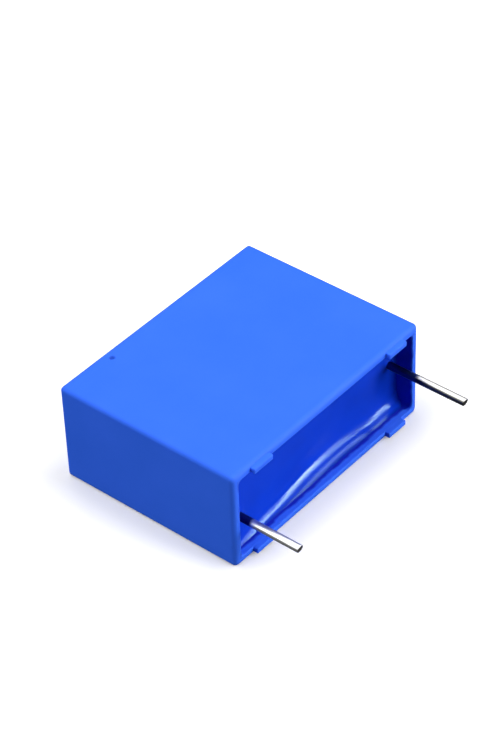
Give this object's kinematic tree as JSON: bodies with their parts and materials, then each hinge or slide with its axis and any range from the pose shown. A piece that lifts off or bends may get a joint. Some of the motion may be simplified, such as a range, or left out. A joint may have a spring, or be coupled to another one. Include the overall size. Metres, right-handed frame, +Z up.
{
  "type": "film capacitor",
  "caption": "Box-type film capacitor: a moulded plastic case, open at one end and potted in resin, that stores charge in a pressed film roll between wire leads.",
  "frame": {"origin": "centre of the broad face that it lies on", "axes": "+X from the left lead to the right lead, -Y the way the leads point, +Z up, across the thickness of the case"},
  "size_m": [0.0264, 0.0269, 0.0105],
  "materials": {
    "case_plastic": "satin",
    "resin": "glossy",
    "film": "satin",
    "sprayed_zinc": "matte",
    "tinned_wire": "bright"
  },
  "bodies": {
    "root": {"case": "case_plastic", "potting": "resin", "film_winding": "film", "end_spray_left": "sprayed_zinc", "end_spray_right": "sprayed_zinc", "lead_left": "tinned_wire", "lead_right": "tinned_wire"}
  },
  "joints": []
}
